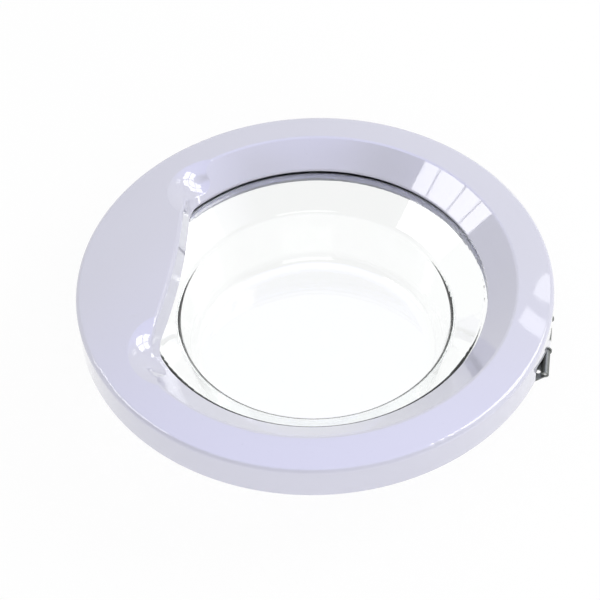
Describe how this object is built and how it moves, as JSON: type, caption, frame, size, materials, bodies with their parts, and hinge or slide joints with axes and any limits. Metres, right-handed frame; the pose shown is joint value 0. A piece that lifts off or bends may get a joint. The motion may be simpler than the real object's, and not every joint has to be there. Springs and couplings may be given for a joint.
{
  "type": "washing machine door",
  "caption": "Round porthole door for a front-loading washing machine: white moulded ring with a fixed grip, pressed glass bowl, steel hinge and sprung latch hook.",
  "frame": {"origin": "centre of the flat bottom of the glass bowl, on the axis of the ring; the door lies front face up on that bottom", "axes": "+Z is the front of the door, up as it lies; +X points to the hinge, -X to the grip and the latch; the hinge line runs along Y"},
  "size_m": [0.4617, 0.46, 0.118],
  "materials": {
    "frame_white": "glossy moulded white plastic with a cool cast",
    "back_white": "fine matt moulded white plastic",
    "bowl_glass": "clear pressed glass, faintly green at its edge",
    "screw_steel": "zinc-plated screw steel",
    "hinge_steel": "dark grey passivated sheet steel",
    "pin_steel": "bright drawn steel",
    "spacer_plastic": "smooth natural bearing plastic",
    "hook_zinc": "blasted zinc die casting"
  },
  "bodies": {
    "door": {"front_frame": "frame_white", "back_frame": "back_white", "door_glass": "bowl_glass", "frame_screws": "screw_steel", "hinge_door_plate": "hinge_steel", "hinge_plate_screws": "screw_steel", "hinge_pin": "pin_steel", "hinge_spacer_upper": "spacer_plastic", "hinge_spacer_lower": "spacer_plastic", "hinge_washer_upper": "hinge_steel", "hinge_washer_lower": "hinge_steel", "latch_holder": "back_white", "latch_screws": "screw_steel", "latch_pin": "pin_steel", "latch_spring": "pin_steel"},
    "leaf": {"hinge_leaf": "hinge_steel"},
    "hook": {"latch_hook": "hook_zinc"}
  },
  "joints": [
    {"name": "door_hinge", "type": "hinge", "parent": "door", "child": "leaf", "pos_m": [0.2268, -0.012, 0.073], "axis": [0, -1, 0], "range_deg": [0, 100]},
    {"name": "latch_pivot", "type": "hinge", "parent": "door", "child": "hook", "pos_m": [-0.2028, 0, 0.092], "axis": [0, 1, 0], "range_deg": [0, 14], "stiffness_Nm_per_rad": 0.25, "springref_deg": -17.19, "deforming": ["latch_spring"]}
  ]
}
